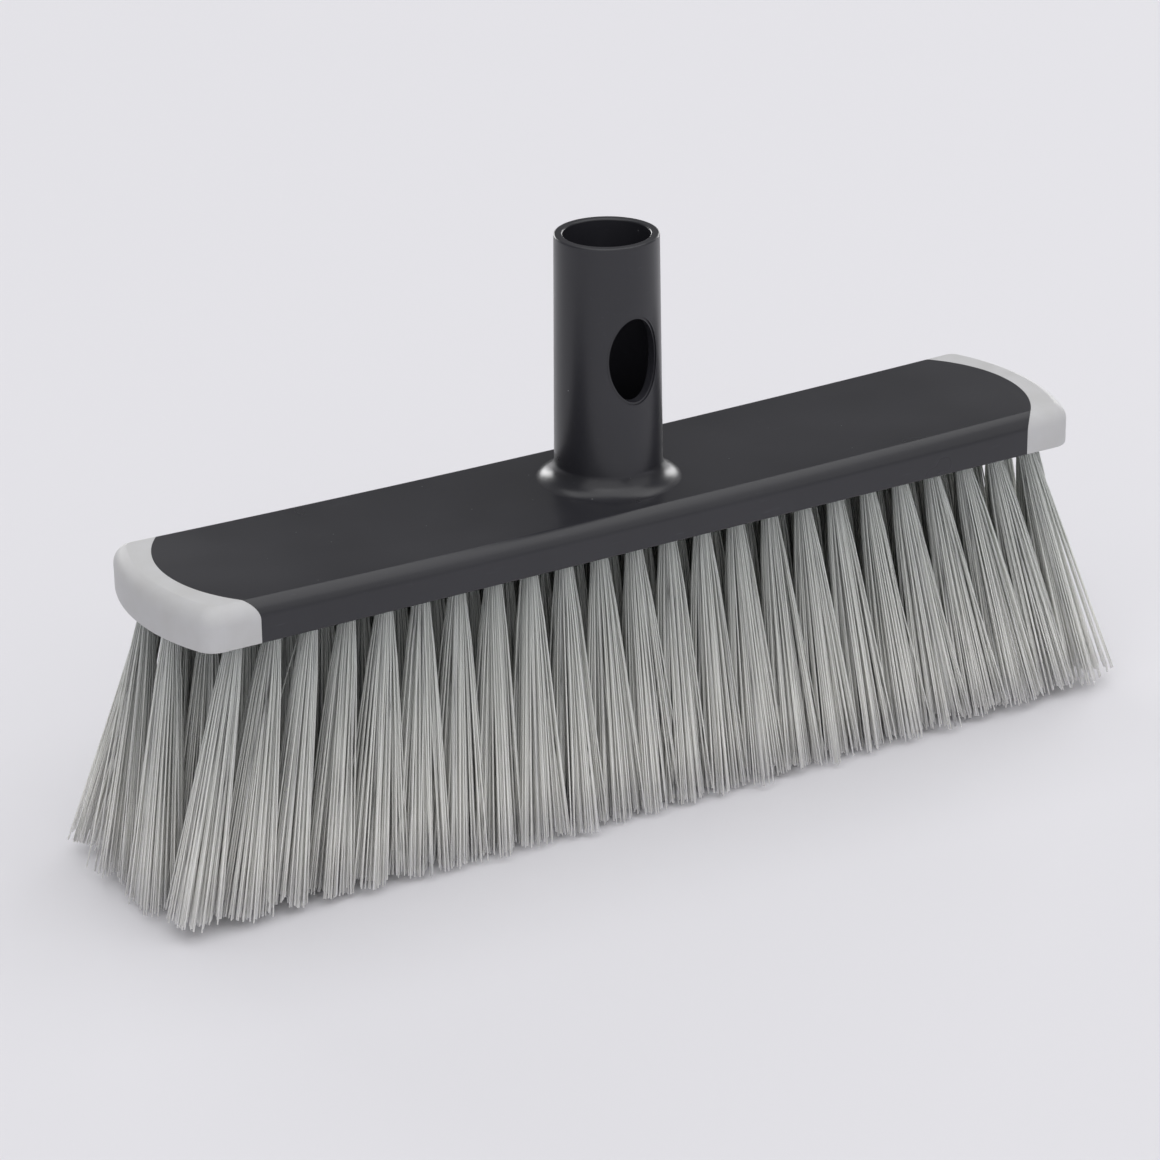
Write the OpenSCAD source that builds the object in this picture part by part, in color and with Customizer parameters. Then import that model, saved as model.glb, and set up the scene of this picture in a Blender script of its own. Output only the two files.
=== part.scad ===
// Broom head with a click-in handle socket, soft end caps and four rows of anchored tufts.
// The head stands on its bristle tips at z = 0. X runs along the head and +Z up the handle.

/* [Block] */
// Length over both end caps
block_l = 320; // [266:1:400]
// Width over the side walls
block_w = 64; // [60:1:80]
// Height from the underside to the top's ends
block_h = 13.5; // [12:0.5:18]
// Sink of the top at the middle of the head, which hollows it lengthwise
top_sag = 1.8; // [0.6:0.1:2.6]
// Radius of the rounded shoulder along both long edges
shoulder_r = 6; // [4:0.1:6.5]
// Radius of the bowed ends, seen from above
end_bow_r = 72; // [60:1:110]
// Radius of the four corners, seen from above
corner_r = 7; // [5.5:0.5:10]
// Length over which the top falls away at each bowed end
end_fall_l = 5; // [3:0.5:6]
// Drop of the top at each bowed end
end_fall_h = 2.4; // [1:0.1:3]

/* [End caps] */
// Width of an end cap along the middle of the head
cap_w = 9.5; // [8:0.5:14]
// Radius of the curved seam between the block and an end cap
seam_r = 43; // [40:1:60]
// Thickness of the soft skin
cap_t = 2.4; // [1.8:0.1:2.6]
// Diameter of the lugs that key the skin into the block
lug_d = 4; // [3:0.5:4.5]
// Depth of the lugs below the skin
lug_depth = 4.5; // [3:0.5:6]

/* [Handle socket] */
// Height of the socket above the top's ends
socket_h = 76.5; // [60:0.5:95]
// Outer diameter at the rim
socket_d = 32; // [31:0.5:34]
// Growth of the outer diameter from the rim to the foot
socket_draft = 1.4; // [0:0.1:2]
// Diameter of the bore that takes the handle
bore_d = 26.5; // [25:0.1:27.5]
// Height of the bore's floor above the top's ends
bore_floor = 2.5; // [1:0.5:6]
// Radius of the fillet round the socket's foot
foot_fillet_r = 5.5; // [3:0.5:7]
// Radius of the rounded rim edges
rim_r = 0.8; // [0.3:0.1:1]
// Width of the oval window for the handle's button
window_w = 17.4; // [12:0.2:18]
// Height of the window
window_h = 28; // [20:0.5:32]
// Height of the window's centre above the top's ends
window_z = 40.5; // [36:0.5:44]

/* [Tufts] */
// Number of tufts in each outer row
outer_count = 24; // [20:1:26]
// Number of tufts in each inner row
inner_count = 26; // [22:1:28]
// Clear distance from the last tuft hole of an inner row to the end of the block
end_margin = 4.2; // [4:0.2:12]
// Distance between neighbouring rows
row_pitch = 16; // [14:0.5:17]
// Diameter of a tuft hole
hole_d = 5; // [4:0.1:5.4]
// Depth of a tuft hole
hole_depth = 8.8; // [7:0.1:9]
// Radial clearance between a tuft and its hole
tuft_clear = 0.1; // [0.05:0.05:0.2]
// Free length of the bristles, from the underside to the trimmed tips
bristle_l = 86; // [60:1:110]
// Clear distance between the splayed tips of neighbouring tufts
tip_gap = 0.3; // [0.2:0.1:3]
// Outward lean of an outer row's end tufts along the head
lean_end_outer = 15.5; // [8:0.5:18]
// Outward lean of an inner row's end tufts along the head
lean_end_inner = 8; // [4:0.5:12]
// How the lean gathers towards the ends of a row, from 1 for an even fan
fan_power = 1.4; // [1:0.1:2]
// Outward lean of the outer rows across the head
lean_outer = 6; // [3:0.5:9]
// Outward lean of the inner rows across the head
lean_inner = 2; // [1:0.5:3]

/* [Anchors] */
// Thickness of the flat anchor wire
anchor_t = 0.5; // [0.3:0.1:0.8]
// Height of the flat anchor wire
anchor_h = 2; // [1.4:0.1:2.6]
// Height of the folded bristles left above an anchor
fold_h = 1.2; // [0.8:0.1:1.6]

/* [Hidden] */
$fn = 96;
// Overshoot of a cutting shape past the face that it cuts
eps = 1;
// Sink of the foot fillet's lower edge, so that it leaves through the top
foot_sink = 0.2;
// Least gap between the underside and the bristles at full bend
flex_gap = 0.3;
// Bend of a row to either side
flex_angle = 15;
ROWS = ["front_outer", "front_inner", "back_inner", "back_outer"];
// Flat strips of the top's hollow on either side of the socket
HOLLOW_STEPS = 7;
OUTER_GROUPS = 6;
INNER_GROUPS = 6;

z_base = bristle_l;
z_top = z_base + block_h;
// Height of the sunk top at the socket's foot
z_seat = z_top - top_sag;
seam_x = block_l / 2 - cap_w;
bow_x = block_l / 2 - end_bow_r;
tuft_r = hole_d / 2 - tuft_clear;
tilt_max = max([for (row = ROWS) norm([lean_end(row), lean_y(row)])]);
// Height of the axes that the rows bend about
z_flex = z_base - tuft_r * sin(tilt_max + flex_angle) - flex_gap;
inner_half = block_l / 2 - end_margin - hole_d / 2;
pitch = 2 * inner_half / (inner_count - 1);
tip_d = pitch - tip_gap;
foot_d = socket_d + socket_draft;

function is_outer(row) = row == "front_outer" || row == "back_outer";
function side_of(row) = row == "front_outer" || row == "front_inner" ? -1 : 1;
function groups_in(row) = is_outer(row) ? OUTER_GROUPS : INNER_GROUPS;
function count_in(row) = is_outer(row) ? outer_count : inner_count;
function row_y(row) = side_of(row) * row_pitch * (is_outer(row) ? 1.5 : 0.5);
function tuft_x(row, i) = (i - (count_in(row) - 1) / 2) * pitch;
function end_x(row) = tuft_x(row, count_in(row) - 1);
function lean_end(row) = is_outer(row) ? lean_end_outer : lean_end_inner;
function lean_x(x, row) = lean_end(row) * sign(x) * pow(abs(x) / end_x(row), fan_power);
function lean_y(row) = side_of(row) * (is_outer(row) ? lean_outer : lean_inner);
// Point of the hollow's curve, at a share of its half span
function hollow_point(share, span) = [share * span, top_sag * share * share];
// Tufts of one group, shared out evenly along the row
function first_in(row, group) = round((group - 1) * count_in(row) / groups_in(row));

module left_and_right() {
    for (side = [-1, 1]) {
        rotate([0, 0, side > 0 ? 0 : 180]) {
            children();
        }
    }
}

// The whole head's outer form, drawn in by inset on every face but the underside
module head_form(inset) {
    difference() {
        intersection() {
            head_section(inset);
            head_plan(inset);
            falling_ends(inset);
        }
        hollow(inset);
    }
}

// Cutter that sinks the top along the head, deepest at the middle
module hollow(inset) {
    span = block_l / 2 + eps;
    // One flat strip lies level under the socket
    strips = 2 * HOLLOW_STEPS + 1;
    translate([0, 0, z_seat - inset]) {
        rotate([90, 0, 0]) {
            linear_extrude(height = 2 * block_w, center = true) {
                polygon(concat(
                    [for (i = [0 : strips]) hollow_point(2 * i / strips - 1, span)],
                    [[span, block_h], [-span, block_h]]
                ));
            }
        }
    }
}

module head_section(inset) {
    r = shoulder_r - inset;
    w = block_w - 2 * inset;
    h = block_h - inset;
    translate([0, 0, z_base]) {
        rotate([90, 0, 90]) {
            linear_extrude(height = block_l + 2 * eps, center = true) {
                translate([-w / 2, 0]) {
                    square([w, h - r]);
                }
                translate([r - w / 2, 0]) {
                    square([w - 2 * r, h]);
                }
                for (side = [-1, 1]) {
                    translate([side * (w / 2 - r), h - r]) {
                        circle(r);
                    }
                }
            }
        }
    }
}

// Plan outline: straight sides, bowed ends and round corners
module head_plan(inset) {
    w = block_w / 2 - inset;
    bow = end_bow_r - inset;
    r = corner_r - inset;
    corner_y = w - r;
    corner_x = bow_x + sqrt((bow - r) * (bow - r) - corner_y * corner_y);
    // Where the corner's arc runs into the bowed end
    touch = [corner_x - bow_x, corner_y] * bow / (bow - r);
    translate([0, 0, z_base - eps]) {
        linear_extrude(height = block_h + 2 * eps) {
            difference() {
                intersection() {
                    square([block_l + 2 * eps, 2 * w], center = true);
                    union() {
                        square([2 * bow_x, 2 * block_w], center = true);
                        for (side = [-1, 1]) {
                            translate([side * bow_x, 0]) {
                                circle(bow, $fn = 180);
                            }
                        }
                    }
                }
                for (side = [-1, 1]) {
                    for (end = [-1, 1]) {
                        difference() {
                            polygon([
                                [side * corner_x, end * corner_y],
                                [side * corner_x, end * w],
                                [side * corner_x, end * (w + eps)],
                                [side * (block_l / 2 + eps), end * (w + eps)],
                                [side * (block_l / 2 + eps), end * touch[1]],
                                [side * (bow_x + touch[0]), end * touch[1]]
                            ]);
                            translate([side * corner_x, end * corner_y]) {
                                circle(r);
                            }
                        }
                    }
                }
            }
        }
    }
}

// Top that falls away along both bowed ends
module falling_ends(inset) {
    bow = end_bow_r - inset;
    h = block_h - inset;
    // The fall's slope is carried on past the bow, so that it leaves through the wall
    past = bow + end_fall_l;
    translate([0, 0, z_base]) {
        translate([-bow_x, -block_w, -eps]) {
            cube([2 * bow_x, 2 * block_w, block_h + 2 * eps]);
        }
        left_and_right() {
            translate([bow_x, 0, 0]) {
                rotate_extrude($fn = 180) {
                    polygon([[0, -eps], [past, -eps], [past, h - 2 * end_fall_h], [bow - end_fall_l, h], [0, h]]);
                }
            }
        }
    }
}

// Space inside the two curved seams
module inside_seams() {
    translate([0, 0, z_base - eps]) {
        linear_extrude(height = block_h + 2 * eps) {
            square([2 * (seam_x - seam_r), block_w + 2 * eps], center = true);
            for (side = [-1, 1]) {
                translate([side * (seam_x - seam_r), 0]) {
                    circle(seam_r, $fn = 180);
                }
            }
        }
    }
}

module lugs() {
    lug_x = block_l / 2 - cap_t - lug_d / 2 - 4;
    lug_y = row_pitch * 1.25;
    for (end = [-1, 1]) {
        translate([lug_x, end * lug_y, z_top - cap_t - lug_depth]) {
            cylinder(d = lug_d, h = lug_depth + cap_t / 2);
        }
    }
}

module tuft_holes() {
    for (row = ROWS) {
        for (i = [0 : count_in(row) - 1]) {
            translate([tuft_x(row, i), row_y(row), z_base - eps]) {
                cylinder(d = hole_d, h = hole_depth + eps, $fn = 32);
            }
        }
    }
}

module socket_outside() {
    rim = socket_d / 2;
    foot = foot_d / 2;
    height = socket_h + top_sag;
    translate([0, 0, z_seat]) {
        rotate_extrude() {
            polygon([[0, -eps], [foot, -eps], [foot, 0], [rim, height - rim_r], [0, height - rim_r]]);
            translate([0, height - rim_r]) {
                square([rim - rim_r, rim_r]);
            }
            translate([rim - rim_r, height - rim_r]) {
                circle(rim_r, $fn = 32);
            }
            difference() {
                translate([foot - eps, -foot_sink]) {
                    square([foot_fillet_r + eps, foot_fillet_r]);
                }
                translate([foot + foot_fillet_r, foot_fillet_r - foot_sink]) {
                    circle(foot_fillet_r);
                }
            }
        }
    }
}

module bore() {
    translate([0, 0, z_top + bore_floor]) {
        cylinder(d = bore_d, h = socket_h);
    }
    // Rounded lead-in at the rim
    translate([0, 0, z_top + socket_h - rim_r]) {
        rotate_extrude() {
            difference() {
                square([bore_d / 2 + rim_r, rim_r + eps]);
                translate([bore_d / 2 + rim_r, 0]) {
                    circle(rim_r, $fn = 32);
                }
            }
        }
    }
}

// Oval window through the front wall only
module window() {
    steps = 72;
    translate([0, 0, z_top + window_z]) {
        rotate([90, 0, 0]) {
            linear_extrude(height = socket_d) {
                polygon([
                    for (i = [0 : steps - 1])
                        [window_w / 2 * cos(i * 360 / steps), window_h / 2 * sin(i * 360 / steps)]
                ]);
            }
        }
    }
}

module block() {
    color([0.235, 0.235, 0.25]) {
        difference() {
            union() {
                intersection() {
                    head_form(0);
                    inside_seams();
                }
                head_form(cap_t);
                socket_outside();
            }
            left_and_right() {
                lugs();
            }
            tuft_holes();
            bore();
            window();
        }
    }
}

module end_cap(turn) {
    color([0.78, 0.78, 0.79]) {
        rotate([0, 0, turn]) {
            difference() {
                intersection() {
                    head_form(0);
                    translate([0, -block_w, z_base - eps]) {
                        cube([block_l, 2 * block_w, block_h + 2 * eps]);
                    }
                }
                inside_seams();
                head_form(cap_t);
            }
            lugs();
        }
    }
}

module anchors(row) {
    color([0.72, 0.72, 0.74]) {
        for (i = [0 : count_in(row) - 1]) {
            translate([tuft_x(row, i), row_y(row), 0]) {
                anchor();
            }
        }
    }
}

// One flat wire, as long as the hole is wide, with the bristles folded over it
module anchor() {
    translate([-anchor_t / 2, -hole_d / 2 + tuft_clear, z_base + hole_depth - fold_h - anchor_h]) {
        cube([anchor_t, hole_d - 2 * tuft_clear, anchor_h]);
    }
}

module tuft_roots(row) {
    color([0.69, 0.69, 0.67]) {
        for (i = [0 : count_in(row) - 1]) {
            translate([tuft_x(row, i), row_y(row), 0]) {
                difference() {
                    translate([0, 0, z_base]) {
                        cylinder(r = tuft_r, h = hole_depth, $fn = 32);
                    }
                    anchor();
                }
            }
        }
    }
}

// Free bristles of one tuft: a leaning cone that splays to its tips and is trimmed level
module bristle_tuft(x, row) {
    run_x = z_flex * tan(lean_x(x, row));
    run_y = z_flex * tan(lean_y(row));
    tilt = atan(norm([run_x, run_y]) / z_flex);
    length = z_flex / cos(tilt);
    // The cone is carried on past the trim, so that its whole foot is cut level
    past = tip_d * tan(tilt) + eps;
    growth = (tip_d / 2 - tuft_r) / length;
    difference() {
        translate([x, row_y(row), z_flex]) {
            rotate([0, 0, atan2(run_y, run_x)]) {
                rotate([0, 180 - tilt, 0]) {
                    cylinder(r1 = tuft_r, r2 = tip_d / 2 + growth * past, h = length + past, $fn = 32);
                }
            }
        }
        translate([-block_l, -2 * block_w, -bristle_l]) {
            cube([2 * block_l, 4 * block_w, bristle_l]);
        }
    }
}

module bristles(row, group) {
    color([0.72, 0.72, 0.7]) {
        for (i = [first_in(row, group) : first_in(row, group + 1) - 1]) {
            bristle_tuft(tuft_x(row, i), row);
        }
    }
}

block();
end_cap(180);  // left_end_cap
end_cap(0);  // right_end_cap
for (row = ROWS) {
    anchors(row);
    tuft_roots(row);
    for (group = [1 : groups_in(row)]) {
        bristles(row, group);
    }
}
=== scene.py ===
"""Broom head: moulded block with a handle socket, soft end caps and four rows of bristle tufts."""

import math
import random

import bmesh
import bpy
import numpy as np
from mathutils import Matrix, Vector


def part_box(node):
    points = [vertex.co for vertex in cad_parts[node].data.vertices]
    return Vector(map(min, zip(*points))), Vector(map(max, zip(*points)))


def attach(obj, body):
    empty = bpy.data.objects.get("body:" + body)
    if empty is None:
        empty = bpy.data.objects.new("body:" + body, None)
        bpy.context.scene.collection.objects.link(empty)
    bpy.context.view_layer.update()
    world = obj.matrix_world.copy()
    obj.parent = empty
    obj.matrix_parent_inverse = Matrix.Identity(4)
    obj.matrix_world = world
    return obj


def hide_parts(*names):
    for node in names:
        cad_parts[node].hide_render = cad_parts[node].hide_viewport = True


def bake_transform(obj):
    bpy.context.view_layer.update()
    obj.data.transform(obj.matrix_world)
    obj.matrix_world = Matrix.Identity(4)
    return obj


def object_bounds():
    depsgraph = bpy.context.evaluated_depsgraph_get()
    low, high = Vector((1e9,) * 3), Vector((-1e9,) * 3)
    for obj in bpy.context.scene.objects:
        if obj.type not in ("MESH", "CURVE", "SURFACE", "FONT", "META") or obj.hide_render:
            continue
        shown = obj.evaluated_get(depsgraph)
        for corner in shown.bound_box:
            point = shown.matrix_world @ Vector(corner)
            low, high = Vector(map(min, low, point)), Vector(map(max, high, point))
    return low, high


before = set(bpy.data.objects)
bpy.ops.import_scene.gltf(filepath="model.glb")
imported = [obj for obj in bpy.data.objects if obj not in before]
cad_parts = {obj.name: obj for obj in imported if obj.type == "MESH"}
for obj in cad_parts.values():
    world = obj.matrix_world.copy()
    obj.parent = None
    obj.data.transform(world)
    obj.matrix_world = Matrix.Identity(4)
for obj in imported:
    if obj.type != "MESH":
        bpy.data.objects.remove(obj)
CAD_LOW, CAD_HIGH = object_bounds()

bl_info = {
    "name": "Broom head",
    "version": (1, 0, 0),
    "blender": (4, 5, 0),
    "location": "View3D > Sidebar > Broom head",
    "description": "Builds a household broom head round its packed frame",
    "category": "Add Mesh",
}

MM = 0.001
# Corners closer than this are one point, and corners this near a level lie on it
TOUCH = 0.001 * MM
ON_LEVEL = 0.01 * MM
HEAD = "head"
ROWS = ("front_outer", "front_inner", "back_inner", "back_outer")

CAP_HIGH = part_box("right_end_cap")[1]
BLOCK_LOW, BLOCK_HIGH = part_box("block")
UNDERSIDE = BLOCK_LOW.z
# Height of the top at the head's ends, and of its sunk middle, where the socket stands
TOP = UNDERSIDE + 13.5 * MM
SEAT = TOP - 1.8 * MM
RIM = BLOCK_HIGH.z
HALF_LENGTH = CAP_HIGH.x
HALF_WIDTH = BLOCK_HIGH.y
# Thickness of an end cap's skin: under it the dark block stops this much short of the head's end
SKIN = CAP_HIGH.x - BLOCK_HIGH.x


# ---------------------------------------------------------------- settings


class BroomBlockSettings(bpy.types.PropertyGroup):
    """Sizes of the moulded block and its end caps"""

    shoulder: bpy.props.FloatProperty(
        name="Shoulder", description="Radius of the rounded shoulder",
        default=6 * MM, unit="LENGTH",
    )
    shoulder_turn: bpy.props.FloatProperty(
        name="Shoulder turn", description="How far the shoulder turns before its crease with the top",
        default=math.radians(71), unit="ROTATION",
    )
    crease_round: bpy.props.FloatProperty(
        name="Crease round", description="Width of the small round on the shoulder's crease",
        default=0.3 * MM, unit="LENGTH",
    )
    lower_edge: bpy.props.FloatProperty(
        name="Lower edge", description="Radius of the small round along the underside",
        default=0.5 * MM, unit="LENGTH",
    )
    corner: bpy.props.FloatProperty(
        name="Corner", description="Radius of the corners, seen from above",
        default=7 * MM, unit="LENGTH",
    )
    bow: bpy.props.FloatProperty(
        name="Bow", description="Radius of the bowed ends, seen from above",
        default=72 * MM, unit="LENGTH",
    )
    seam: bpy.props.FloatProperty(
        name="Seam", description="Radius of the seam between block and end cap",
        default=43 * MM, unit="LENGTH",
    )
    cap_width: bpy.props.FloatProperty(
        name="Cap width", description="Width of an end cap along the head's middle line",
        default=9.5 * MM, unit="LENGTH",
    )
    seam_round: bpy.props.FloatProperty(
        name="Seam round", description="Round on both lips of the seam",
        default=0.22 * MM, unit="LENGTH",
    )
    hole_radius: bpy.props.FloatProperty(
        name="Hole radius", description="Radius of a tuft hole", default=2.5 * MM, unit="LENGTH",
    )
    hole_depth: bpy.props.FloatProperty(
        name="Hole depth", description="Depth of a tuft hole", default=8.8 * MM, unit="LENGTH",
    )
    block_colour: bpy.props.StringProperty(
        name="Block colour", description="Charcoal of the moulded block, as sRGB hex",
        default="28282D",
    )
    cap_colour: bpy.props.StringProperty(
        name="Cap colour", description="Light grey of the soft end caps, as sRGB hex",
        default="C3C3C5",
    )


class BroomSocketSettings(bpy.types.PropertyGroup):
    """Sizes of the handle socket"""

    rim_radius: bpy.props.FloatProperty(
        name="Rim radius", description="Outer radius at the rim", default=16 * MM, unit="LENGTH",
    )
    foot_radius: bpy.props.FloatProperty(
        name="Foot radius", description="Outer radius above the flare", default=16.7 * MM, unit="LENGTH",
    )
    bore_radius: bpy.props.FloatProperty(
        name="Bore radius", description="Radius of the bore", default=13.25 * MM, unit="LENGTH",
    )
    bore_floor: bpy.props.FloatProperty(
        name="Bore floor", description="Height of the bore's floor above the top's ends",
        default=2.5 * MM, unit="LENGTH",
    )
    rim_round: bpy.props.FloatProperty(
        name="Rim round", description="Round on both edges of the rim", default=0.6 * MM, unit="LENGTH",
    )
    flare_run: bpy.props.FloatProperty(
        name="Flare run", description="How far the flare reaches out from the foot",
        default=6.4 * MM, unit="LENGTH",
    )
    flare_rise: bpy.props.FloatProperty(
        name="Flare rise", description="Height of the flare above the top",
        default=6.2 * MM, unit="LENGTH",
    )
    flare_slope: bpy.props.FloatProperty(
        name="Flare slope", description="Slope at which the flare leaves the top",
        default=math.radians(3), unit="ROTATION",
    )
    window_width: bpy.props.FloatProperty(
        name="Window width", description="Width of the oval window", default=16 * MM, unit="LENGTH",
    )
    window_height: bpy.props.FloatProperty(
        name="Window height", description="Height of the oval window", default=26.4 * MM, unit="LENGTH",
    )
    window_place: bpy.props.FloatProperty(
        name="Window place", description="Height of the window's centre above the top's ends",
        default=40.5 * MM, unit="LENGTH",
    )
    lip_width: bpy.props.FloatProperty(
        name="Lip width", description="Width of the shallow lip round the window",
        default=0.8 * MM, unit="LENGTH",
    )
    lip_depth: bpy.props.FloatProperty(
        name="Lip depth", description="Depth of the lip round the window", default=0.35 * MM, unit="LENGTH",
    )


class BroomBristleSettings(bpy.types.PropertyGroup):
    """Sizes of the bristle tufts"""

    strands: bpy.props.IntProperty(
        name="Strands", description="Bristle ends in each tuft", default=112, min=8,
    )
    thickness: bpy.props.FloatProperty(
        name="Thickness", description="Diameter of one bristle as drawn", default=0.54 * MM, unit="LENGTH",
    )
    root_radius: bpy.props.FloatProperty(
        name="Root radius", description="Radius of a tuft in its hole", default=2.25 * MM, unit="LENGTH",
    )
    depth: bpy.props.FloatProperty(
        name="Depth", description="How far the bristles reach into their hole",
        default=6 * MM, unit="LENGTH",
    )
    splay: bpy.props.FloatProperty(
        name="Splay", description="Radius of a splayed tuft at its tips", default=9.2 * MM, unit="LENGTH",
    )
    clumps: bpy.props.IntProperty(
        name="Clumps", description="Clumps that the bristles of one tuft gather in", default=8, min=1,
    )
    clump_pull: bpy.props.FloatProperty(
        name="Clump pull", description="How far a clump draws its bristles' tips together",
        default=0.25, subtype="FACTOR",
    )
    clump_stray: bpy.props.FloatProperty(
        name="Clump stray", description="Spread of the clumps' own leanings at the tips",
        default=1.1 * MM, unit="LENGTH",
    )
    swell: bpy.props.FloatProperty(
        name="Swell", description="How far a tuft swells below its hole", default=0.6 * MM, unit="LENGTH",
    )
    tip_jitter: bpy.props.FloatProperty(
        name="Tip jitter", description="Spread of the single bristles' own leanings at the tips",
        default=1.1 * MM, unit="LENGTH",
    )
    wave: bpy.props.FloatProperty(
        name="Wave", description="Sideways wander of a bristle", default=0.2 * MM, unit="LENGTH",
    )
    ragged: bpy.props.FloatProperty(
        name="Ragged", description="Spread of the shorter tips in height", default=1.5 * MM, unit="LENGTH",
    )
    stray_share: bpy.props.FloatProperty(
        name="Strays", description="Share of bristles that stand away from their tuft",
        default=0.02, subtype="FACTOR",
    )
    seed: bpy.props.IntProperty(name="Seed", description="Seed of the random draws", default=7)
    colour: bpy.props.StringProperty(
        name="Colour", description="Silver grey of the bristles, as sRGB hex", default="BCBFBC",
    )
    # Paler tips: partly the trimmed tips' own colour, partly painted light that lifts the shade near the
    # floor
    tip_and_painted_light_colour: bpy.props.StringProperty(
        name="Tip colour", description="Paler, scuffed colour of the trimmed tips, as sRGB hex",
        default="F7F6F0",
    )
    # Painted highlight: near-white glints painted on the tips of one bristle in three
    painted_glint_colour: bpy.props.StringProperty(
        name="White tip colour", description="Stress-whitened tip of one bristle in three, as sRGB hex",
        default="FDFDFB",
    )


class BroomStageSettings(bpy.types.PropertyGroup):
    """Floor, lights and camera"""

    floor_colour: bpy.props.StringProperty(
        name="Floor colour", description="Pale studio floor, as sRGB hex", default="E4E3E8",
    )
    focal_length: bpy.props.FloatProperty(
        name="Focal length", description="Camera lens in millimetres", default=127.94,
    )
    camera_place: bpy.props.FloatVectorProperty(
        name="Camera place", description="Where the camera stands",
        default=(-0.61378, -1.00254, 0.56599), subtype="TRANSLATION", unit="LENGTH", precision=5,
    )
    camera_turn: bpy.props.FloatVectorProperty(
        name="Camera turn", description="Azimuth, elevation and roll of the camera",
        default=(math.radians(-31.03), math.radians(23.17), math.radians(-0.66)), unit="ROTATION",
    )


# ---------------------------------------------------------------- shared helpers


BLACK, WHITE = (0, 0, 0, 1), (1, 1, 1, 1)


def linear(hex_colour):
    """sRGB hex to a linear colour with alpha."""
    parts = [int(hex_colour[i:i + 2], 16) / 255 for i in (0, 2, 4)]
    return [p / 12.92 if p <= 0.04045 else ((p + 0.055) / 1.055) ** 2.4 for p in parts] + [1.0]


def node(tree, kind, links=(), **settings):
    """Adds a shader node, sets its properties or sockets by name, and joins (from socket, input) links."""
    made = tree.nodes.new(kind)
    for name, value in settings.items():
        if hasattr(made, name):
            setattr(made, name, value)
        else:
            made.inputs[name.replace("_", " ")].default_value = value
    for source, target in links:
        tree.links.new(source, made.inputs[target])
    return made


def scaled(colour, factor):
    """A linear colour made darker or lighter, within what a surface can send back."""
    return [min(1, c * factor) for c in colour[:3]] + [1]


def ramp(tree, source, low, high):
    """A ramp over a value, between two stops given as (position, colour)."""
    made = node(tree, "ShaderNodeValToRGB", [(source, "Fac")])
    for stop, (position, colour) in zip(made.color_ramp.elements, (low, high)):
        stop.position = position
        stop.color = colour
    return made.outputs["Color"]


def mixed(tree, factor, first, second):
    """Goes from a colour socket to a fixed colour by a factor socket."""
    made = node(tree, "ShaderNodeMix", data_type="RGBA")
    tree.links.new(factor, made.inputs["Factor"])
    tree.links.new(first, made.inputs["A"])
    made.inputs["B"].default_value = second
    return made.outputs["Result"]


def vary_gloss(tree, shader, source, low, high, **source_range):
    """Drives a shader's roughness from low to high by a value."""
    gloss = node(tree, "ShaderNodeMapRange", [(source, "Value")], To_Min=low, To_Max=high, **source_range)
    tree.links.new(gloss.outputs["Result"], shader.inputs["Roughness"])


def emboss(tree, shader, source, strength, depth):
    """Raises a shader's surface by a value, depth metres at most."""
    bump = node(tree, "ShaderNodeBump", [(source, "Height")], Strength=strength, Distance=depth)
    tree.links.new(bump.outputs["Normal"], shader.inputs["Normal"])


def new_material(name, **shader_values):
    """A material with one Principled shader, whose sockets take the given values."""
    material = bpy.data.materials.new(name)
    material.use_nodes = True
    tree = material.node_tree
    shader = tree.nodes["Principled BSDF"]
    for socket, value in shader_values.items():
        shader.inputs[socket.replace("_", " ")].default_value = value
    return material, tree, shader


def new_piece(name, bm):
    """Turns a bmesh into a linked object at the origin."""
    mesh = bpy.data.meshes.new(name)
    bm.to_mesh(mesh)
    bm.free()
    piece = bpy.data.objects.new(name, mesh)
    bpy.context.scene.collection.objects.link(piece)
    return piece


def freeze(piece):
    """Applies a piece's modifiers, or turns a curve into its mesh, keeping the object's place."""
    depsgraph = bpy.context.evaluated_depsgraph_get()
    mesh = bpy.data.meshes.new_from_object(piece.evaluated_get(depsgraph))
    if piece.type == "MESH":
        piece.modifiers.clear()
        piece.data = mesh
        return piece
    frozen = bpy.data.objects.new(piece.name, mesh)
    bpy.context.scene.collection.objects.link(frozen)
    bpy.data.objects.remove(piece)
    return frozen


def combine(piece, other, operation):
    """Boolean of two closed solids, applied at once. The other solid is used up."""
    step = piece.modifiers.new("combine", "BOOLEAN")
    step.operation = operation
    step.solver = "EXACT"
    step.object = other
    freeze(piece)
    bpy.data.objects.remove(other)
    return piece


def smooth_finish(piece, crease=32):
    """Smooth faces, sharp edges past the crease angle in degrees, and normals led by the large faces."""
    mesh = piece.data
    mesh.shade_smooth()
    mesh.set_sharp_from_angle(angle=math.radians(crease))
    weigh = piece.modifiers.new("weigh", "WEIGHTED_NORMAL")
    weigh.keep_sharp = True
    weigh.weight = 80
    freeze(piece)


def islands(node_name):
    """The separate solids of a CAD node as lists of their corner places, ordered along the head."""
    bm = bmesh.new()
    bm.from_mesh(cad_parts[node_name].data)
    bmesh.ops.remove_doubles(bm, verts=bm.verts, dist=0.002 * MM)
    left = set(bm.verts)
    found = []
    while left:
        waiting = [left.pop()]
        island = []
        while waiting:
            vertex = waiting.pop()
            island.append(vertex.co.copy())
            for edge in vertex.link_edges:
                other = edge.other_vert(vertex)
                if other in left:
                    left.remove(other)
                    waiting.append(other)
        found.append(island)
    bm.free()
    return sorted(found, key=lambda island: sum(p.x for p in island) / len(island))


def middle(points):
    """Centre of the box round some points."""
    low = Vector(map(min, zip(*points)))
    high = Vector(map(max, zip(*points)))
    return (low + high) / 2


# ---------------------------------------------------------------- block and end caps


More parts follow.
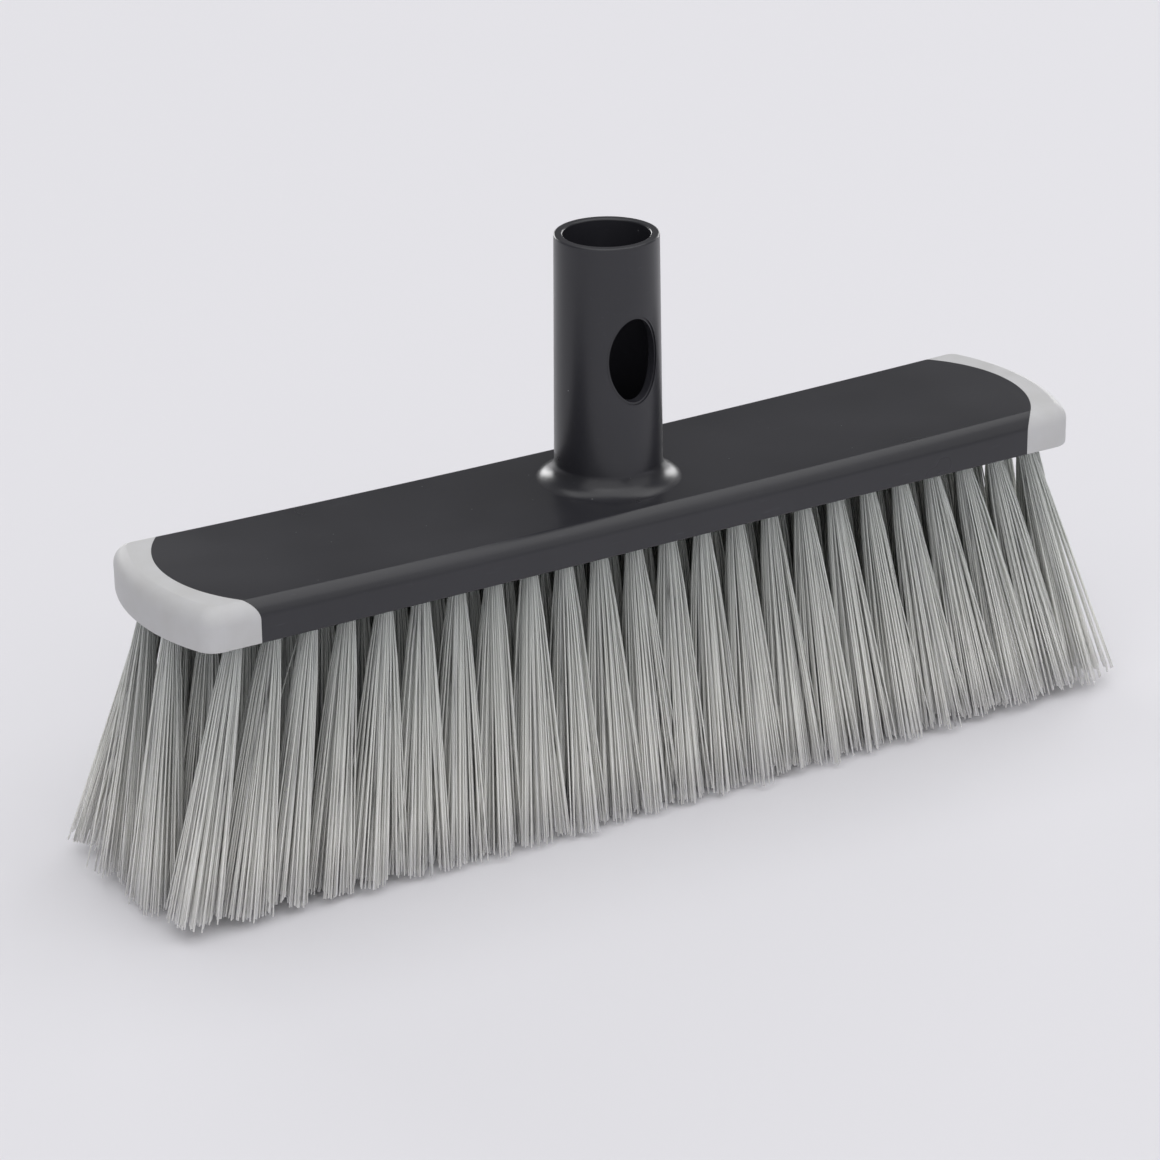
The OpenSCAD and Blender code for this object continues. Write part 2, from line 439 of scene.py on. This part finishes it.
def sweep(bm, vertex, centre, angle, steps, axis=(0, 0, 1)):
    """Draws an arc from a vertex round a centre and returns its last vertex."""
    spun = bmesh.ops.spin(
        bm, geom=[vertex], cent=centre, axis=axis, angle=angle, steps=steps, use_merge=False
    )
    return next(g for g in spun["geom_last"] if isinstance(g, bmesh.types.BMVert))


def head_outline(settings, inset):
    """A bmesh with the head's plan outline as one face on the underside's level."""
    half_width = HALF_WIDTH - inset
    corner = settings.corner - inset
    bow = settings.bow - inset
    bow_x = HALF_LENGTH - settings.bow
    corner_y = half_width - corner
    corner_x = bow_x + math.sqrt((bow - corner) ** 2 - corner_y ** 2)
    turn = math.pi / 2 - math.atan2(corner_y, corner_x - bow_x)
    corner_steps, bow_steps = 10, 14
    bm = bmesh.new()
    start = bm.verts.new((corner_x, half_width, UNDERSIDE))
    touch = sweep(bm, start, (corner_x, corner_y, UNDERSIDE), -turn, corner_steps)
    sweep(bm, touch, (bow_x, 0, UNDERSIDE), turn - math.pi / 2, bow_steps)
    for axis in ("Y", "X"):
        bmesh.ops.mirror(bm, geom=bm.verts[:] + bm.edges[:], axis=axis, merge_dist=TOUCH)
    for side in (-1, 1):
        wall = [v for v in bm.verts if abs(v.co.y - side * half_width) < TOUCH]
        right = min((v for v in wall if v.co.x > 0), key=lambda v: v.co.x)
        left = max((v for v in wall if v.co.x < 0), key=lambda v: v.co.x)
        bm.edges.new((left, right))
    bmesh.ops.edgeloop_fill(bm, edges=bm.edges)
    bmesh.ops.recalc_face_normals(bm, faces=bm.faces)
    return bm


def rise(bm, faces, height):
    """Extrudes faces straight up."""
    up = bmesh.ops.extrude_face_region(bm, geom=faces)
    lifted = [g for g in up["geom"] if isinstance(g, bmesh.types.BMVert)]
    bmesh.ops.translate(bm, verts=lifted, vec=(0, 0, height))
    bmesh.ops.recalc_face_normals(bm, faces=bm.faces)


def edges_at(bm, height):
    """The edges that lie on one level."""
    return [e for e in bm.edges if all(abs(v.co.z - height) < ON_LEVEL for v in e.verts)]


def round_edges(bm, edges, radius, segments):
    """Rounds edges in the given number of segments."""
    bmesh.ops.bevel(
        bm, geom=edges, offset=radius, offset_type="OFFSET", affect="EDGES",
        segments=segments, profile=0.5, material=-1, clamp_overlap=True,
    )


def head_solid(name, settings, inset, below=0.0, lower_edge=0.0):
    """The head's outer form, drawn in by inset on all sides but the underside."""
    bm = head_outline(settings, inset)
    radius, turn = settings.shoulder - inset, settings.shoulder_turn
    top = TOP - inset
    rise(bm, bm.faces[:], top - radius * math.sin(turn) - UNDERSIDE)
    roof = max(bm.faces, key=lambda face: face.calc_center_median().z)
    # Each step of the shoulder stands further in and less steep than the one below
    steps = 9
    for i in range(steps):
        start, end = turn * i / steps, turn * (i + 1) / steps
        bmesh.ops.inset_region(
            bm, faces=[roof], thickness=radius * (math.cos(start) - math.cos(end)),
            depth=radius * (math.sin(end) - math.sin(start)), use_even_offset=True,
        )
    round_edges(bm, roof.edges[:], settings.crease_round, 2)
    if lower_edge:
        round_edges(bm, edges_at(bm, UNDERSIDE), lower_edge, 3)
    sink_top(bm, top)
    for vertex in bm.verts:
        if below and abs(vertex.co.z - UNDERSIDE) < ON_LEVEL:
            vertex.co.z -= below
    return new_piece(name, bm)


def sink_top(bm, top):
    """Hollows the top lengthwise by bending every level above the underside."""
    spacing = 8 * MM
    cuts = int(HALF_LENGTH / spacing)
    for i in range(-cuts, cuts + 1):
        # Half a spacing off the middle, so that a level strip lies under the socket
        place = (i + 0.5) * spacing
        bmesh.ops.bisect_plane(
            bm, geom=bm.verts[:] + bm.edges[:] + bm.faces[:], dist=TOUCH,
            plane_co=(place, 0, 0), plane_no=(1, 0, 0),
        )
    for vertex in bm.verts:
        height = (vertex.co.z - UNDERSIDE) / (top - UNDERSIDE)
        vertex.co.z -= (TOP - SEAT) * (1 - (vertex.co.x / HALF_LENGTH) ** 2) * height


def seam_solid(settings):
    """The space inside both curved seams, taller than the head."""
    margin = 5 * MM
    seam_x = HALF_LENGTH - settings.cap_width
    centre_x = seam_x - settings.seam
    reach = HALF_WIDTH + 2 * MM
    angle = math.asin(reach / settings.seam)
    arc_steps = 72
    bm = bmesh.new()
    low = UNDERSIDE - margin
    start = bm.verts.new((centre_x + settings.seam * math.cos(angle), reach, low))
    sweep(bm, start, (centre_x, 0, low), -2 * angle, arc_steps)
    bmesh.ops.mirror(bm, geom=bm.verts[:] + bm.edges[:], axis="X", merge_dist=0)
    for side in (-1, 1):
        ends = [v for v in bm.verts if abs(v.co.y - side * reach) < TOUCH]
        bm.edges.new(ends)
    bmesh.ops.edgeloop_fill(bm, edges=bm.edges)
    rise(bm, bm.faces[:], TOP - UNDERSIDE + 2 * margin)
    return new_piece("seam_solid", bm)


def round_seam(piece, settings):
    """Rounds the lips of a piece where the curved seam comes out."""
    centre_x = HALF_LENGTH - settings.cap_width - settings.seam
    off_seam = 0.02 * MM
    upright = 0.02
    bm = bmesh.new()
    bm.from_mesh(piece.data)
    bmesh.ops.remove_doubles(bm, verts=bm.verts, dist=0.004 * MM)

    def on_seam(vertex):
        away = math.hypot(abs(vertex.co.x) - centre_x, vertex.co.y)
        return abs(away - settings.seam) < off_seam

    lips = []
    for edge in bm.edges:
        if len(edge.link_faces) != 2 or not all(on_seam(v) for v in edge.verts):
            continue
        walls = [
            abs(face.normal.z) < upright and all(on_seam(v) for v in face.verts)
            for face in edge.link_faces
        ]
        if walls[0] != walls[1]:
            lips.append(edge)
    round_edges(bm, lips, settings.seam_round, 2)
    bm.to_mesh(piece.data)
    bm.free()


def socket_profile(bm, settings, sunk):
    """Half section of the socket, from its axis in the block, up the wall and down the bore."""
    outer, bore, edge = settings.rim_radius, settings.bore_radius, settings.rim_round
    foot = settings.foot_radius
    run, height = settings.flare_run, settings.flare_rise
    across = (0, 1, 0)
    cove_steps, rim_steps = 10, 4
    # The flare is a cove that meets the top and the wall at a crease
    slope = settings.flare_slope
    cove_angle = 2 * (math.atan2(height, run) - slope)
    cove = math.hypot(run, height) / (2 * math.sin(cove_angle / 2))
    # It starts a little under the top, so that the two solids cross
    dip = 0.03 * MM
    base_axis = bm.verts.new((0, 0, SEAT - sunk))
    base_edge = bm.verts.new((foot + run, 0, SEAT - sunk))
    toe = bm.verts.new((foot + run, 0, SEAT - dip))
    bm.edges.new((base_axis, base_edge))
    bm.edges.new((base_edge, toe))
    centre = (foot + run + cove * math.sin(slope), 0, toe.co.z + cove * math.cos(slope))
    crest = sweep(bm, toe, centre, cove_angle, cove_steps, axis=across)
    wall_top = bm.verts.new((outer, 0, RIM - edge))
    bm.edges.new((crest, wall_top))
    quarter = -math.pi / 2
    ring = sweep(bm, wall_top, (outer - edge, 0, RIM - edge), quarter, rim_steps, axis=across)
    inner = bm.verts.new((bore + edge, 0, RIM))
    bm.edges.new((ring, inner))
    throat = sweep(bm, inner, (bore + edge, 0, RIM - edge), quarter, rim_steps, axis=across)
    floor_edge = bm.verts.new((bore, 0, TOP + settings.bore_floor))
    floor_axis = bm.verts.new((0, 0, TOP + settings.bore_floor))
    bm.edges.new((throat, floor_edge))
    bm.edges.new((floor_edge, floor_axis))


def socket_solid(settings):
    """The socket as a full turn of its section, sunk into the block."""
    bm = bmesh.new()
    socket_profile(bm, settings, sunk=3 * MM)
    bmesh.ops.spin(
        bm, geom=bm.verts[:] + bm.edges[:], cent=(0, 0, 0), axis=(0, 0, 1),
        angle=2 * math.pi, steps=128, use_merge=True,
    )
    bmesh.ops.remove_doubles(bm, verts=bm.verts, dist=0.003 * MM)
    bmesh.ops.recalc_face_normals(bm, faces=bm.faces)
    return new_piece("socket_solid", bm)


def window_solid(settings, margin=0.0):
    """Oval cutter, larger by a margin, that reaches from outside the front wall to the bore's axis."""
    bm = bmesh.new()
    bmesh.ops.create_cone(
        bm, cap_ends=True, segments=96, radius1=1, radius2=1, depth=1,
        matrix=Matrix.Rotation(math.pi / 2, 4, "X"),
    )
    reach = 2 * settings.rim_radius
    half_w, half_h = settings.window_width / 2 + margin, settings.window_height / 2 + margin
    bmesh.ops.scale(bm, verts=bm.verts, vec=(half_w, reach, half_h))
    bmesh.ops.translate(bm, verts=bm.verts, vec=(0, -reach / 2, TOP + settings.window_place))
    bmesh.ops.recalc_face_normals(bm, faces=bm.faces)
    return new_piece("window_solid", bm)


def window_lip_solid(settings):
    """Cutter for the window's shallow lip: a larger oval that stops just inside the wall's face."""
    bm = bmesh.new()
    bmesh.ops.create_cone(
        bm, cap_ends=True, segments=128, radius1=settings.foot_radius - settings.lip_depth,
        radius2=settings.rim_radius - settings.lip_depth, depth=RIM - SEAT,
        matrix=Matrix.Translation((0, 0, (RIM + SEAT) / 2)),
    )
    core = new_piece("wall_core", bm)
    return combine(window_solid(settings, settings.lip_width), core, "DIFFERENCE")


def hole_solid(places, settings):
    """One cutter with a tuft hole's form at every place."""
    overshoot = 1 * MM
    radius, depth = settings.hole_radius, settings.hole_depth + overshoot
    bm = bmesh.new()
    for place in places:
        bmesh.ops.create_cone(
            bm, cap_ends=True, segments=24, radius1=radius, radius2=radius, depth=depth,
            matrix=Matrix.Translation((place.x, place.y, UNDERSIDE + depth / 2 - overshoot)),
        )
    return new_piece("hole_solid", bm)


def moulded_polypropylene(name, settings):
    """Charcoal polypropylene, injection moulded: satin, faintly spark-eroded, with handling scuffs."""
    grain_size, patch_size, scuff_size, speck_spacing = 0.35 * MM, 38 * MM, 1.6 * MM, 7 * MM
    material, tree, shader = new_material(name, IOR=1.49, Roughness=0.3)
    place = node(tree, "ShaderNodeTexCoord").outputs["Object"]
    # Spark-eroded mould grain
    grain = node(tree, "ShaderNodeTexNoise", [(place, "Vector")], Scale=1 / grain_size, Detail=3.0)
    # Slow unevenness of the flow and of handling
    patches = node(tree, "ShaderNodeTexNoise", [(place, "Vector")], Scale=1 / patch_size, Detail=3.0)
    # Scuffs run mostly along the head
    stretched = node(tree, "ShaderNodeMapping", [(place, "Vector")], Scale=(0.12, 1.0, 1.0),
                     Rotation=(0, 0, math.radians(9)))
    scuffs = node(tree, "ShaderNodeTexNoise", [(stretched.outputs[0], "Vector")],
                  Scale=1 / scuff_size, Detail=4.0, Roughness=0.7)
    scuff_mask = ramp(tree, scuffs.outputs["Fac"], (0.63, BLACK), (0.78, WHITE))
    # Dust specks about a third of a millimetre across
    specks = node(tree, "ShaderNodeTexVoronoi", [(place, "Vector")], Scale=1 / speck_spacing)
    speck_mask = ramp(tree, specks.outputs["Distance"], (0.018, WHITE), (0.034, BLACK))
    base = linear(settings.block_colour)
    shade = ramp(tree, patches.outputs["Fac"], (0.3, scaled(base, 0.9)), (0.72, scaled(base, 1.1)))
    scuffed = mixed(tree, scuff_mask, shade, scaled(base, 1.7))
    dusty = mixed(tree, speck_mask, scuffed, linear("8A8A8C"))
    tree.links.new(dusty, shader.inputs["Base Color"])
    vary_gloss(tree, shader, patches.outputs["Fac"], 0.27, 0.34, From_Min=0.3, From_Max=0.7)
    emboss(tree, shader, grain.outputs["Fac"], 0.12, 0.03 * MM)
    return material


def soft_elastomer(name, settings):
    """Light-grey thermoplastic elastomer, overmoulded: matt, slightly waxy, grubby in random patches."""
    skin_size, patch_size = 0.5 * MM, 9 * MM
    material, tree, shader = new_material(
        name, IOR=1.5, Roughness=0.55, Subsurface_Weight=0.12, Subsurface_Scale=1.2 * MM,
    )
    shader.inputs["Subsurface Radius"].default_value = (1.0, 0.95, 0.9)
    place = node(tree, "ShaderNodeTexCoord").outputs["Object"]
    skin = node(tree, "ShaderNodeTexNoise", [(place, "Vector")], Scale=1 / skin_size, Detail=3.0)
    patches = node(tree, "ShaderNodeTexNoise", [(place, "Vector")], Scale=1 / patch_size, Detail=3.0)
    base = linear(settings.cap_colour)
    # Grubby patches are darker and a little warmer
    grubby = [base[0] * 0.93, base[1] * 0.925, base[2] * 0.91, 1]
    shade = ramp(tree, patches.outputs["Fac"], (0.25, grubby), (0.7, base))
    tree.links.new(shade, shader.inputs["Base Color"])
    vary_gloss(tree, shader, patches.outputs["Fac"], 0.48, 0.6, From_Min=0.3, From_Max=0.7)
    emboss(tree, shader, skin.outputs["Fac"], 0.15, 0.04 * MM)
    return material


# ---------------------------------------------------------------- bristles


def bristle_groups(row):
    """Names of the CAD nodes that hold a row's free bristles."""
    return [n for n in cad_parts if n.startswith(f"bristles_{row}_")]


def tuft_axes(row):
    """Where each tuft of a row leaves its hole and where its tips' centre stands."""
    roots = [middle(island) for island in islands(f"anchors_{row}")]
    tips = []
    at_floor = 0.05 * MM
    for group in sorted(bristle_groups(row)):
        for island in islands(group):
            trimmed = [p for p in island if p.z < CAD_LOW.z + at_floor]
            tips.append(middle(trimmed))
    tips.sort(key=lambda p: p.x)
    return [(Vector((r.x, r.y, UNDERSIDE)), t) for r, t in zip(roots, tips)]


def sunflower(index, count):
    """Place of one of many evenly spread points in a circle of radius 1."""
    golden_angle = math.pi * (3 - math.sqrt(5))
    angle = index * golden_angle
    return Vector((math.cos(angle), math.sin(angle), 0)) * math.sqrt((index + 0.5) / count)


def clumps_of(settings, draw):
    """The clumps of one tuft: place in its circle, own leaning at the tips and shortfall."""
    stray = settings.clump_stray
    # One clump in four is cut short
    short_share = 0.25
    return [
        (
            sunflower(i, settings.clumps),
            Vector((draw.gauss(0, stray), draw.gauss(0, stray), 0)),
            draw.uniform(1, 3) * MM if draw.random() < short_share else 0,
        )
        for i in range(settings.clumps)
    ]


def strand_points(index, root, tip, clumps, settings, draw):
    """One bristle's route from inside its hole to its trimmed tip."""
    length = UNDERSIDE - CAD_LOW.z
    # Strays lean up to this many millimetres further, and a share of the tips stand short
    stray_x, stray_y = 9, 5
    ragged_share = 0.3
    least_lift = 0.3 * MM
    spread = sunflower(index, settings.strands)
    centre, leaning, shortfall = min(clumps, key=lambda clump: (clump[0] - spread).length)
    start = root + spread * settings.root_radius
    aim = tip + spread.lerp(centre, settings.clump_pull) * settings.splay + leaning
    jitter = settings.tip_jitter
    aim += Vector((draw.gauss(0, jitter), draw.gauss(0, jitter), 0))
    if draw.random() < settings.stray_share:
        aim += Vector((draw.uniform(-stray_x, stray_x), draw.uniform(-stray_y, stray_y), 0)) * MM
    way = (aim - start).normalized()
    short = shortfall * draw.uniform(0.6, 1.1) + draw.uniform(0, 0.5) * MM
    if draw.random() < ragged_share:
        short += abs(draw.gauss(0, settings.ragged))
    wander = Vector((draw.gauss(0, 1), draw.gauss(0, 1), 0)) * settings.wave
    phase = draw.uniform(0.6, 1.4)
    points = [start + Vector((0, 0, settings.depth)), start]
    steps = 5
    for i in range(1, steps + 1):
        t = i / steps
        bend = wander * math.sin(math.pi * t * phase) * t
        # Crowded in its hole, a tuft swells over its first stretch
        swell = spread * settings.swell * math.sin(math.pi * math.sqrt(t))
        points.append(start + way * (length - short) * t + bend + swell)
    points[-1].z = max(points[-1].z, CAD_LOW.z + least_lift)
    return points


def row_strands(row, settings):
    """All bristles of one row as one mesh, with a random number and the share of its length on each."""
    draw = random.Random(settings.seed + ROWS.index(row))
    curve = bpy.data.curves.new(f"bristles_{row}", "CURVE")
    curve.dimensions = "3D"
    curve.bevel_depth = settings.thickness / 2
    curve.bevel_resolution = 0
    shades = []
    tuft_spread, strand_spread = 0.05, 0.2
    for root, tip in tuft_axes(row):
        tuft_shade = draw.gauss(0, tuft_spread)
        clumps = clumps_of(settings, draw)
        for index in range(settings.strands):
            points = strand_points(index, root, tip, clumps, settings, draw)
            spline = curve.splines.new("POLY")
            spline.points.add(len(points) - 1)
            spline.points.foreach_set("co", [c for p in points for c in (*p, 1.0)])
            shades.append(min(1, max(0, draw.gauss(0.5, strand_spread) + tuft_shade)))
    piece = bpy.data.objects.new(f"bristles_{row}", curve)
    bpy.context.scene.collection.objects.link(piece)
    piece = freeze(piece)
    close_ends(piece.data)
    piece.data.shade_smooth()
    mark_strands(piece.data, shades)
    return piece


def close_ends(mesh):
    """Caps the cut ends of all the strands."""
    bm = bmesh.new()
    bm.from_mesh(mesh)
    bmesh.ops.holes_fill(bm, edges=[e for e in bm.edges if e.is_boundary], sides=4)
    bm.to_mesh(mesh)
    bm.free()


def mark_strands(mesh, shades):
    """Gives each point its strand's random shade and how far down the free length it lies."""
    points = len(mesh.vertices)
    strand = mesh.attributes.new("strand", "FLOAT", "POINT")
    strand.data.foreach_set("value", np.repeat(np.array(shades, np.float32), points // len(shades)))
    places = np.empty(points * 3, np.float32)
    mesh.vertices.foreach_get("co", places)
    down = np.clip((UNDERSIDE - places[2::3]) / (UNDERSIDE - CAD_LOW.z), 0, 1)
    reach = mesh.attributes.new("reach", "FLOAT", "POINT")
    reach.data.foreach_set("value", down.astype(np.float32))


def extruded_filament(name, settings):
    """Silver-grey polypropylene filament, drawn: glossy, milky, paler towards the cut tips, partly as
    painted light, with painted glints on some tips.
    """
    material, tree, shader = new_material(
        name, IOR=1.49, Roughness=0.34, Subsurface_Weight=0.8, Subsurface_Scale=1 * MM,
    )
    shader.inputs["Subsurface Radius"].default_value = (1.0, 1.0, 0.95)
    strand = node(tree, "ShaderNodeAttribute", attribute_name="strand").outputs["Fac"]
    reach = node(tree, "ShaderNodeAttribute", attribute_name="reach").outputs["Fac"]
    base = linear(settings.colour)
    shade = ramp(tree, strand, (0, scaled(base, 0.75)), (1, scaled(base, 1.2)))
    # Paler towards the tips, partly their own colour and partly painted light against the shade near the
    # floor
    near_tip = node(tree, "ShaderNodeMapRange", [(reach, "Value")],
                    From_Min=0.1, From_Max=0.85, To_Min=0.0, To_Max=0.85)
    paler = mixed(tree, near_tip.outputs["Result"], shade, linear(settings.tip_and_painted_light_colour))
    # One bristle in three gets a painted highlight, near-white glints, over its last stretch
    painted_glint_share = 1 / 3
    pick = node(tree, "ShaderNodeTexWhiteNoise", [(strand, "W")], noise_dimensions="1D")
    chosen = node(tree, "ShaderNodeMath", [(pick.outputs["Value"], 0)], operation="LESS_THAN")
    chosen.inputs[1].default_value = painted_glint_share
    # Painted glints: the chosen bristles go near-white over their last stretch
    at_tip = node(tree, "ShaderNodeMapRange", [(reach, "Value")], From_Min=0.84, From_Max=0.95)
    amount = node(tree, "ShaderNodeMath", [(chosen.outputs[0], 0), (at_tip.outputs["Result"], 1)],
                  operation="MULTIPLY")
    with_painted_glints = mixed(tree, amount.outputs[0], paler, linear(settings.painted_glint_colour))
    tree.links.new(with_painted_glints, shader.inputs["Base Color"])
    vary_gloss(tree, shader, strand, 0.28, 0.42)
    return material


def flat_steel_wire(name):
    """Bright flat steel wire, rolled: fine marks along its length."""
    mark_width = 0.08 * MM
    material, tree, shader = new_material(name, Metallic=1.0, Roughness=0.3)
    shader.inputs["Base Color"].default_value = linear("B9BABC")
    place = node(tree, "ShaderNodeTexCoord").outputs["Object"]
    stretched = node(tree, "ShaderNodeMapping", [(place, "Vector")], Scale=(1.0, 0.05, 1.0))
    marks = node(tree, "ShaderNodeTexNoise", [(stretched.outputs[0], "Vector")],
                 Scale=1 / mark_width, Detail=2.0)
    vary_gloss(tree, shader, marks.outputs["Fac"], 0.22, 0.4)
    return material


# ---------------------------------------------------------------- operators


# What the lights face
SOCKET_FOOT = (0, 0, 0.1)


class BROOM_OT_block(bpy.types.Operator):
    """Moulded block with the handle socket, its window, bore and tuft holes"""

    bl_idname = "broom.block"
    bl_label = "Block"

    def execute(self, context):
        sizes = context.scene.broom_block
        socket = context.scene.broom_socket
        block = head_solid("moulded_block", sizes, 0, lower_edge=sizes.lower_edge)
        combine(block, seam_solid(sizes), "INTERSECT")
        round_seam(block, sizes)
        combine(block, head_solid("tongue", sizes, SKIN), "UNION")
        combine(block, socket_solid(socket), "UNION")
        combine(block, window_lip_solid(socket), "DIFFERENCE")
        combine(block, window_solid(socket), "DIFFERENCE")
        places = [middle(i) for row in ROWS for i in islands(f"anchors_{row}")]
        combine(block, hole_solid(places, sizes), "DIFFERENCE")
        smooth_finish(block)
        block.data.materials.clear()
        block.data.materials.append(moulded_polypropylene("moulded_polypropylene", sizes))
        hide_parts("block")
        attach(block, HEAD)
        return {"FINISHED"}


class BROOM_OT_end_caps(bpy.types.Operator):
    """Soft skins moulded over both ends of the block"""

    bl_idname = "broom.end_caps"
    bl_label = "End caps"

    def execute(self, context):
        sizes = context.scene.broom_block
        finish = soft_elastomer("soft_elastomer", sizes)
        for name, side in (("left_end_cap", -1), ("right_end_cap", 1)):
            cap = head_solid(f"soft_{name}", sizes, 0, lower_edge=sizes.lower_edge)
            combine(cap, seam_solid(sizes), "DIFFERENCE")
            combine(cap, head_solid("tongue", sizes, SKIN, below=2 * MM), "DIFFERENCE")
            bm = bmesh.new()
            bm.from_mesh(cap.data)
            other = [v for v in bm.verts if v.co.x * side < 0]
            bmesh.ops.delete(bm, geom=other, context="VERTS")
            bm.to_mesh(cap.data)
            bm.free()
            round_seam(cap, sizes)
            smooth_finish(cap)
            cap.data.materials.clear()
            cap.data.materials.append(finish)
            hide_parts(name)
            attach(cap, HEAD)
        return {"FINISHED"}


class BROOM_OT_bristles(bpy.types.Operator):
    """Four rows of bristle tufts, each bristle a strand of its own"""

    bl_idname = "broom.bristles"
    bl_label = "Bristles"

    def execute(self, context):
        sizes = context.scene.broom_bristles
        finish = extruded_filament("extruded_filament", sizes)
        for row in ROWS:
            piece = row_strands(row, sizes)
            piece.data.materials.append(finish)
            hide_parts(f"tuft_roots_{row}", *bristle_groups(row))
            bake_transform(piece)
        return {"FINISHED"}


class BROOM_OT_anchors(bpy.types.Operator):
    """Finish of the flat wire anchors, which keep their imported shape"""

    bl_idname = "broom.anchors"
    bl_label = "Anchors"

    def execute(self, context):
        finish = flat_steel_wire("flat_steel_wire")
        for row in ROWS:
            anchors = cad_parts[f"anchors_{row}"]
            anchors.data.materials.clear()
            anchors.data.materials.append(finish)
        return {"FINISHED"}


class BROOM_OT_stage(bpy.types.Operator):
    """Pale floor, soft studio light and the camera"""

    bl_idname = "broom.stage"
    bl_label = "Stage"

    def execute(self, context):
        sizes = context.scene.broom_stage
        make_floor(sizes)
        make_lights()
        make_camera(sizes)
        context.scene.view_settings.view_transform = "Standard"
        return {"FINISHED"}


def make_floor(settings):
    """A floor that reaches past the camera's view."""
    half_size = 12
    bm = bmesh.new()
    bmesh.ops.create_grid(bm, x_segments=1, y_segments=1, size=half_size)
    floor = new_piece("floor", bm)
    material, _, shader = new_material("pale_paper", Roughness=0.9, IOR=1.4)
    shader.inputs["Base Color"].default_value = linear(settings.floor_colour)
    floor.data.materials.append(material)


def soft_light(name, place, size, power):
    """One rectangular softbox that faces the socket's foot: place and size in metres, power in watts."""
    lamp = bpy.data.lights.new(name, "AREA")
    lamp.shape = "RECTANGLE"
    lamp.size, lamp.size_y = size
    lamp.energy = power
    piece = bpy.data.objects.new(name, lamp)
    piece.location = place
    piece.rotation_mode = "QUATERNION"
    piece.rotation_quaternion = (Vector(SOCKET_FOOT) - Vector(place)).to_track_quat("-Z", "Y")
    bpy.context.scene.collection.objects.link(piece)


def round_the_head(turn, elevation, distance=3.4):
    """A place round the head: turn goes left from straight away from the camera."""
    away_from_camera = 59
    bearing = math.radians(away_from_camera + turn)
    lift = math.radians(elevation)
    level = distance * math.cos(lift)
    height = SOCKET_FOOT[2] + distance * math.sin(lift)
    return level * math.cos(bearing), level * math.sin(bearing), height


def make_lights():
    """Five softboxes and an even white surround."""
    # Lights the top, and the shoulder from above
    soft_light("overhead", (0.35, -0.1, 3.1), (4.6, 4.2), 88)
    # Two low ones, mirrored by the sides of the socket's flare
    soft_light("low_left", round_the_head(28, 8), (1.8, 0.8), 29)
    soft_light("low_right", round_the_head(-28, 8), (1.8, 0.8), 25)
    # Light the bristles and the front of the shoulder
    soft_light("front", round_the_head(170, 34), (5.0, 3.8), 52)
    soft_light("right_front", round_the_head(-115, 24), (3.0, 2.4), 15)
    world = bpy.data.worlds.new("studio")
    world.use_nodes = True
    surround = world.node_tree.nodes["Background"]
    surround.inputs["Color"].default_value = WHITE
    surround.inputs["Strength"].default_value = 0.17
    bpy.context.scene.world = world


def make_camera(settings):
    """The camera, from its place, azimuth, elevation and roll."""
    turn, tilt, roll = settings.camera_turn
    back = Vector((math.sin(turn) * math.cos(tilt), -math.cos(turn) * math.cos(tilt), math.sin(tilt)))
    right = (-back).cross(Vector((0, 0, 1))).normalized()
    up = right.cross(-back)
    right_rolled = right * math.cos(roll) + up * math.sin(roll)
    up_rolled = up * math.cos(roll) - right * math.sin(roll)
    lens = bpy.data.cameras.new("camera")
    lens.lens = settings.focal_length
    lens.sensor_width = 36
    lens.clip_start = 0.05
    lens.clip_end = 60
    camera = bpy.data.objects.new("camera", lens)
    camera.matrix_world = Matrix((right_rolled, up_rolled, back)).transposed().to_4x4()
    camera.location = settings.camera_place
    bpy.context.scene.collection.objects.link(camera)
    bpy.context.scene.camera = camera


class BROOM_PT_panel(bpy.types.Panel):
    """Lists the broom head's pieces and their settings"""

    bl_idname = "BROOM_PT_panel"
    bl_label = "Broom head"
    bl_space_type = "VIEW_3D"
    bl_region_type = "UI"
    bl_category = "Broom head"

    def draw(self, context):
        for operator in OPERATORS:
            self.layout.operator(operator.bl_idname)
        for name, group in SETTINGS.items():
            box = self.layout.box()
            box.label(text=name.replace("_", " "))
            values = getattr(context.scene, name)
            for prop in group.__annotations__:
                box.prop(values, prop)


OPERATORS = (BROOM_OT_stage, BROOM_OT_block, BROOM_OT_end_caps, BROOM_OT_anchors, BROOM_OT_bristles)
SETTINGS = {
    "broom_block": BroomBlockSettings,
    "broom_socket": BroomSocketSettings,
    "broom_bristles": BroomBristleSettings,
    "broom_stage": BroomStageSettings,
}


def register():
    for kind in (*SETTINGS.values(), *OPERATORS, BROOM_PT_panel):
        bpy.utils.register_class(kind)
    for name, group in SETTINGS.items():
        setattr(bpy.types.Scene, name, bpy.props.PointerProperty(type=group))


def unregister():
    for name in SETTINGS:
        delattr(bpy.types.Scene, name)
    for kind in (BROOM_PT_panel, *reversed(OPERATORS), *reversed(SETTINGS.values())):
        bpy.utils.unregister_class(kind)


def main():
    register()
    bpy.ops.broom.stage()
    bpy.ops.broom.block()
    bpy.ops.broom.end_caps()
    bpy.ops.broom.anchors()
    bpy.ops.broom.bristles()


if __name__ == "__main__":
    main()
